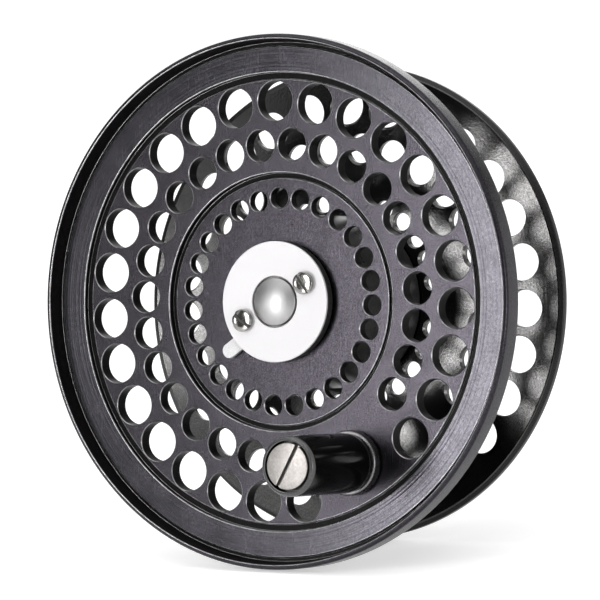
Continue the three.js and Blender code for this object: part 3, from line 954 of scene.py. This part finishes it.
# %% Build one finish
def finish(name, things, dark, light, grain, pitch, roughness, metallic, bump=0.0, lathe=0.0,
           rub=0.0, bare=(0.6, 0.59, 0.58, 1), centre=(0, 0), specular=0.5):
    """A finish for some pieces, with its patterns centred on an axis of the spool."""
    material = bpy.data.materials.new(name)
    material.use_nodes = True
    tree = material.node_tree
    shader = tree.nodes["Principled BSDF"]
    place, turned_by, size = SPOOL.inverted().decompose()
    coordinates = add(tree, "TexCoord")
    mapping = add(tree, "Mapping", {
        "Vector": coordinates.outputs["Object"],
        "Location": place - Vector((*centre, 0)),
        "Rotation": turned_by.to_euler(),
        "Scale": size,
    })
    vector = mapping.outputs["Vector"]

    def group(tree_used, **values):
        node = tree.nodes.new("ShaderNodeGroup")
        node.node_tree = tree_used
        tree.links.new(vector, node.inputs["Vector"])
        for key, value in values.items():
            node.inputs[key].default_value = value
        return node

    grains = group(speckle, Grain=grain, Dark=dark, Light=light)
    marks = group(handling, Low=roughness[0], High=roughness[1])
    edges = group(wear, Amount=rub)
    colour = add(tree, "Mix", {"Factor": edges.outputs["Mask"], "A": grains.outputs["Color"],
                               "B": bare}, data_type="RGBA", blend_type="MIX")
    tree.links.new(colour.outputs[2], shader.inputs["Base Color"])
    tree.links.new(marks.outputs["Roughness"], shader.inputs["Roughness"])
    lathe_rings = group(rings, Pitch=pitch)
    grit_bump = add(tree, "Bump", {"Height": grains.outputs["Height"], "Strength": 1.0,
                                   "Distance": bump * MM})
    ring_bump = add(tree, "Bump", {"Height": lathe_rings.outputs["Height"], "Strength": 1.0,
                                   "Distance": lathe * MM, "Normal": grit_bump.outputs[0]})
    tree.links.new(ring_bump.outputs[0], shader.inputs["Normal"])
    shader.inputs["Metallic"].default_value = metallic
    shader.inputs["Specular IOR Level"].default_value = specular
    for thing in things:
        thing.data.materials.append(material)
    print(name, "on", [thing.name for thing in things])
    return material


def second_finish(thing, index, wanted):
    """Gives a piece's faces another of its finishes, where wanted(radius, height, tilt) says so."""
    back = SPOOL.inverted()
    count = 0
    for polygon in thing.data.polygons:
        centre = back @ polygon.center
        if wanted(math.hypot(centre.x, centre.y), centre.z, polygon.normal.dot(axis)):
            polygon.material_index = index
            count += 1
    print(count, "faces of", thing.name, "take finish", index)


# %% Finishes of the spool
made = {thing.name: thing for thing in bpy.data.objects}
finish("gunmetal anodising", [front_flange], (0.002, 0.002, 0.002, 1), (0.056, 0.051, 0.061, 1),
       grain=0.24, pitch=0.3, roughness=(0.22, 0.3), metallic=0.97, bump=0.01, lathe=0.002)
# Painted shade: a near-black, hardly reflecting finish for the walls of bores, grooves and lip, the
# groove floors and the recess at the lip's foot.
finish("painted shade in bores and grooves", [front_flange], (0.001, 0.001, 0.001, 1), (0.008, 0.007, 0.008, 1),
       grain=0.5, pitch=0.3, roughness=(0.3, 0.45), metallic=0.0, bump=0.004, specular=0.04)
finish("turned gunmetal", [front_flange], (0.024, 0.023, 0.027, 1), (0.062, 0.059, 0.067, 1),
       grain=0.4, pitch=0.42, roughness=(0.22, 0.3), metallic=0.97, bump=0.004, lathe=0.02)
finish("burnished edges", [front_flange], (0.08, 0.078, 0.08, 1), (0.34, 0.335, 0.34, 1),
       grain=0.9, pitch=0.3, roughness=(0.25, 0.35), metallic=1.0)
# Slot 1 holds painted shade on the face and on the back flange's edge, and a painted highlight on
# the knob's roundings.
PAINTED_LIGHT_SLOT, TURNED, EDGE = 1, 2, 3
NEAR = 0.1
second_finish(front_flange, TURNED, lambda radius, height, tilt: (
    tilt > 0.95 and radius > BAND_INNER + NEAR))
# The faces that lie in shade get the painted shade finish.
second_finish(front_flange, PAINTED_LIGHT_SLOT, lambda radius, height, tilt: (
    abs(tilt) < 0.4 and radius < 37.6
    or tilt > 0.9 and height < GROOVE_FLOOR + NEAR and radius > DISC_RADIUS - NEAR / 2
    or BAND_OUTER - NEAR < radius < LIP_FOOT + NEAR and height < 0.3))
second_finish(front_flange, EDGE, lambda radius, height, tilt: (
    0.2 < tilt < 0.97 and radius < LIP_INNER + LIP_ROUNDING))
finish("dark anodising", [arbor, latch_ring], (0.008, 0.008, 0.008, 1),
       (0.04, 0.038, 0.037, 1), grain=0.5, pitch=0.25, roughness=(0.25, 0.38), metallic=0.0,
       bump=0.003, lathe=0.006, rub=0.4, specular=0.1)
finish("satin anodising", [back_flange], (0.024, 0.024, 0.024, 1), (0.095, 0.093, 0.092, 1),
       grain=0.3, pitch=0.35, roughness=(0.1, 0.17), metallic=0.97, bump=0.004, lathe=0.003,
       rub=0.5)
# Painted shade: the back flange's outer edge gets a near-black, non-metallic finish in place of its
# dark reflection.
finish("painted shade on flange edge", [back_flange], (0.002, 0.002, 0.002, 1), (0.01, 0.01, 0.01, 1),
       grain=0.3, pitch=0.35, roughness=(0.2, 0.3), metallic=0.0, specular=0.25)
second_finish(back_flange, PAINTED_LIGHT_SLOT, lambda radius, height, tilt: radius > DISH_END + NEAR)
finish("turned bronze", [spindle_bush], (0.42, 0.27, 0.11, 1), (0.62, 0.43, 0.2, 1), grain=0.3,
       pitch=0.12, roughness=(0.22, 0.4), metallic=1.0, bump=0.002, lathe=0.01)
finish("cut gear steel", [ratchet], (0.3, 0.3, 0.31, 1), (0.46, 0.46, 0.47, 1), grain=0.25,
       pitch=0.2, roughness=(0.28, 0.45), metallic=1.0, bump=0.004, lathe=0.01)

# %% Finishes of the latch
finish("satin nickel silver", [latch_plate], (0.52, 0.51, 0.52, 1), (0.56, 0.55, 0.56, 1),
       grain=0.12, pitch=0.1, roughness=(0.45, 0.55), metallic=0.0, bump=0.002, specular=0.2)
finish("satin nickel", [cap], (0.29, 0.285, 0.288, 1), (0.36, 0.355, 0.357, 1),
       grain=0.12, pitch=0.1, roughness=(0.4, 0.46), metallic=1.0, bump=0.002, lathe=0.002)
finish("blasted stainless", [lever], (0.3, 0.3, 0.3, 1), (0.75, 0.74, 0.75, 1), grain=0.14,
       pitch=0.3, roughness=(0.5, 0.6), metallic=0.1, bump=0.03, specular=0.3)
polished = [thing for name, thing in made.items()
            if "screw_" in name and "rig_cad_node" not in thing]
finish("polished steel", polished + [spring, spring_pin], (0.2, 0.197, 0.188, 1),
       (0.32, 0.315, 0.3, 1), grain=0.3, pitch=0.1, roughness=(0.08, 0.2), metallic=1.0,
       bump=0.002)

# %% Finishes of the handle
handle_centre = (HANDLE_CIRCLE * math.cos(HANDLE_ANGLE), HANDLE_CIRCLE * math.sin(HANDLE_ANGLE))
finish("polished black", [knob], (0.001, 0.001, 0.001, 1), (0.003, 0.003, 0.003, 1), grain=0.4,
       pitch=0.3, roughness=(0.1, 0.2), metallic=0.0, bump=0.001, lathe=0.003,
       centre=handle_centre, bare=(0.1, 0.1, 0.1, 1), rub=0.6, specular=0.16)
# Painted highlight: the knob's roundings get a lighter base colour and a stronger shine than its
# body.
finish("polished black with painted edge sheen", [knob], (0.02, 0.02, 0.02, 1), (0.06, 0.06, 0.06, 1), grain=0.4,
       pitch=0.3, roughness=(0.16, 0.24), metallic=0.0, centre=handle_centre, specular=0.6)
second_finish(knob, PAINTED_LIGHT_SLOT, lambda radius, height, tilt: 0.15 < tilt < 0.97)
finish("black anodised post", [post], (0.1, 0.098, 0.1, 1), (0.22, 0.215, 0.22, 1), grain=0.25,
       pitch=0.15, roughness=(0.2, 0.34), metallic=0.95, lathe=0.006, bump=0.002,
       centre=handle_centre, rub=0.5)
finish("faced stainless", [handle_screw, rear_washer], (0.11, 0.103, 0.1, 1),
       (0.2, 0.19, 0.18, 1), grain=0.35, pitch=0.12, roughness=(0.3, 0.42), metallic=0.85,
       bump=0.003, lathe=0.008, centre=handle_centre)

# %% [markdown]
# ## The studio
#
# A white sweep, a soft light overhead and a soft box to the front left, which the flat face
# mirrors towards the camera on its right side and not on its left. A lamp's power is worked out
# from the brightness that its surface should have, where 1 is white paper. The camera and every
# reflection see a white room, and the floor keeps the object's shadow.

# %% Floor and world
floor_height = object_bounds()[0][2]
sheet = bmesh.new()
bmesh.ops.create_grid(sheet, x_segments=8, y_segments=8, size=3)
floor_mesh = bpy.data.meshes.new("floor")
moved(sheet, Matrix.Translation((0, 0, floor_height))).to_mesh(floor_mesh)
floor = bpy.data.objects.new("floor", floor_mesh)
scene.collection.objects.link(floor)

FLOOR_GLOW = 0.45
paper = bpy.data.materials.new("white sweep")
paper.use_nodes = True
tree = paper.node_tree
tree.nodes.remove(tree.nodes["Principled BSDF"])
out = tree.nodes["Material Output"]


def background_rays(tree):
    """1 for the rays that should see the white room: camera, mirror and glass rays."""
    path = add(tree, "LightPath")
    first = add(tree, "Math", {0: path.outputs["Is Camera Ray"], 1: path.outputs["Is Glossy Ray"]},
                operation="MAXIMUM")
    both_rays = add(tree, "Math", {0: first.outputs[0], 1: path.outputs["Is Transmission Ray"]},
                    operation="MAXIMUM")
    return both_rays.outputs[0]


matt = add(tree, "BsdfDiffuse", {"Color": (0.8, 0.8, 0.8, 1)})
strength = add(tree, "Math", {0: background_rays(tree), 1: FLOOR_GLOW}, operation="MULTIPLY")
glow = add(tree, "Emission", {"Strength": strength.outputs[0]})
whole = add(tree, "AddShader", {0: matt.outputs[0], 1: glow.outputs[0]})
tree.links.new(whole.outputs[0], out.inputs["Surface"])
floor.data.materials.append(paper)

ROOM_LIGHT = 0.75
world = bpy.data.worlds.new("studio")
world.use_nodes = True
scene.world = world
tree = world.node_tree
room = tree.nodes["Background"]
level = add(tree, "MapRange", {"Value": background_rays(tree), "To Min": ROOM_LIGHT,
                               "To Max": 1.0})
room.inputs["Color"].default_value = (1, 1, 1, 1)
tree.links.new(level.outputs[0], room.inputs["Strength"])
print("floor at", round(floor_height / MM, 3), "mm")


# %% Lamps
def soft_box(name, azimuth, elevation, distance, width, height, brightness):
    """A soft box round the middle of the spool's face, aimed at it, sizes in millimetres."""
    light = bpy.data.lights.new(name, "AREA")
    light.shape = "RECTANGLE"
    light.size = width * MM
    light.size_y = height * MM
    light.energy = brightness * math.pi * light.size * light.size_y
    lamp = bpy.data.objects.new(name, light)
    target = SPOOL.translation
    place = target + direction(math.radians(azimuth), math.radians(elevation)) * distance * MM
    lamp.matrix_world = facing(place, target)
    lamp.visible_camera = False
    scene.collection.objects.link(lamp)
    print(name, "gives", round(light.energy, 2), "W")
    return lamp


soft_box("overhead box", 0, 75, 600, 700, 700, 1.0)
soft_box("face box", -18, 4, 210, 52, 150, 15.0)
soft_box("strip box", -44, 5.5, 900, 110, 80, 14.5)
soft_box("side box", 62, 0, 500, 200, 200, 5.0)
soft_box("rear box", -162, 15, 700, 250, 180, 1.5)
scene.view_settings.view_transform = "Standard"

# %% [markdown]
# Bare metal shows whatever stands round it, and a white room all round would make it chalky.
# Cards stand between the boxes, as in a product studio. Only reflections see them, so they
# throw no shadow and hide nothing.

# %% Cards
def card(name, azimuth, elevation, distance, width, height, grey):
    """A card that only reflections see, placed as a soft box is."""
    sheet = bmesh.new()
    bmesh.ops.create_grid(sheet, x_segments=2, y_segments=2, size=0.5)
    target = SPOOL.translation
    place = target + direction(math.radians(azimuth), math.radians(elevation)) * distance * MM
    moved(sheet, facing(place, target) @ Matrix.Diagonal((width * MM, height * MM, 1, 1)))
    mesh = bpy.data.meshes.new(name)
    sheet.to_mesh(mesh)
    sheet.free()
    felt = bpy.data.materials.new(name)
    felt.use_nodes = True
    felt.node_tree.nodes["Principled BSDF"].inputs["Base Color"].default_value = (grey,) * 3 + (1,)
    mesh.materials.append(felt)
    thing = bpy.data.objects.new(name, mesh)
    thing.visible_camera = False
    thing.visible_diffuse = False
    thing.visible_shadow = False
    scene.collection.objects.link(thing)
    print(name, "is", width, "by", height, "mm")
    return thing


card("black card", -26.5, 10, 1000, 406, 900, 0.01)
card("grey card", 15, 10, 1000, 1100, 900, 0.3)
card("left card", -78, 10, 1000, 1100, 900, 0.25)
card("rear card", 156, 22, 800, 340, 300, 0.02)
